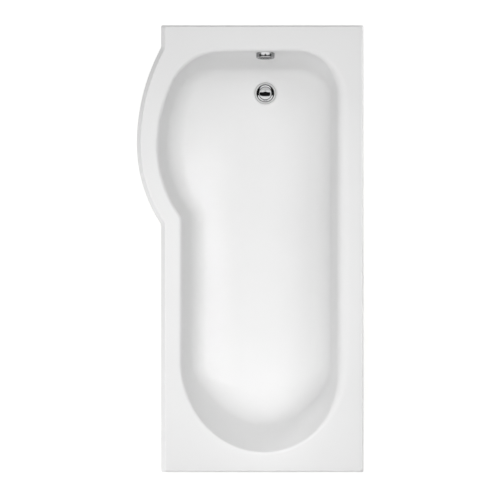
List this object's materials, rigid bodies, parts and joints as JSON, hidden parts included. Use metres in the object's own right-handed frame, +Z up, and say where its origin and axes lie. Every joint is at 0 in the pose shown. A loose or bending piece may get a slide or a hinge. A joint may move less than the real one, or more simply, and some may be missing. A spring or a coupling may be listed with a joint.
{
  "type": "p shaped shower bath",
  "caption": "White P shaped shower bath with bowed showering end, level waste and overflow, on a base board with adjustable legs.",
  "frame": {"origin": "on the floor, under the middle of the rim's bounding box", "axes": "X across the bath with the wall side at +X, Y along the bath with the waste end at +Y, Z up"},
  "size_m": [0.85, 1.675, 0.545],
  "materials": {
    "acrylic": "gloss white acrylic",
    "glass_fibre": "sprayed glass fibre and resin",
    "chipboard": "resin sealed chipboard",
    "plywood": "plywood",
    "softwood": "planed softwood",
    "galvanised": "galvanised sheet",
    "zinc": "zinc plated",
    "foot_plastic": "satin black",
    "chrome": "polished",
    "seal_rubber": "matt black",
    "seal_grey": "matt grey",
    "fitting_plastic": "satin white",
    "brass": "turned",
    "spring_steel": "drawn wire"
  },
  "bodies": {
    "bath": {"bath_shell": "acrylic", "fibreglass_backing": "glass_fibre", "base_board": "chipboard", "front_batten": "plywood", "wall_batten": "softwood", "head_batten": "softwood", "foot_batten": "softwood", "head_cradle": "galvanised", "foot_cradle": "galvanised", "centre_bracket": "galvanised", "leg_nuts": "zinc", "leg_screws": "zinc", "wall_brackets": "galvanised", "bracket_screws": "zinc", "waste_flange": "chrome", "waste_seal_upper": "seal_grey", "waste_seal_lower": "seal_rubber", "waste_body": "fitting_plastic", "click_cartridge": "brass", "plug_spring": "spring_steel", "overflow_cover": "chrome", "overflow_seal": "seal_rubber", "overflow_elbow": "fitting_plastic", "overflow_screw": "chrome", "overflow_hose": "fitting_plastic", "hose_clips": "zinc"},
    "plug_body": {"plug": "chrome", "plug_seal": "seal_rubber"},
    "foot_head_front": {"rod_head_front": "zinc", "pad_head_front": "foot_plastic"},
    "foot_head_wall": {"rod_head_wall": "zinc", "pad_head_wall": "foot_plastic"},
    "foot_foot_front": {"rod_foot_front": "zinc", "pad_foot_front": "foot_plastic"},
    "foot_foot_wall": {"rod_foot_wall": "zinc", "pad_foot_wall": "foot_plastic"},
    "foot_centre": {"rod_centre": "zinc", "pad_centre": "foot_plastic"}
  },
  "joints": [
    {"name": "plug_lift", "type": "slide", "parent": "bath", "child": "plug_body", "axis": [0, 0, 1], "range_m": [0, 0.009], "deforming": ["plug_spring"]},
    {"name": "foot_head_front_height", "type": "slide", "parent": "bath", "child": "foot_head_front", "axis": [0, 0, 1], "range_m": [-0.015, 0.02]},
    {"name": "foot_head_wall_height", "type": "slide", "parent": "bath", "child": "foot_head_wall", "axis": [0, 0, 1], "range_m": [-0.015, 0.02]},
    {"name": "foot_foot_front_height", "type": "slide", "parent": "bath", "child": "foot_foot_front", "axis": [0, 0, 1], "range_m": [-0.015, 0.02]},
    {"name": "foot_foot_wall_height", "type": "slide", "parent": "bath", "child": "foot_foot_wall", "axis": [0, 0, 1], "range_m": [-0.015, 0.02]},
    {"name": "foot_centre_height", "type": "slide", "parent": "bath", "child": "foot_centre", "axis": [0, 0, 1], "range_m": [-0.015, 0.02]}
  ]
}
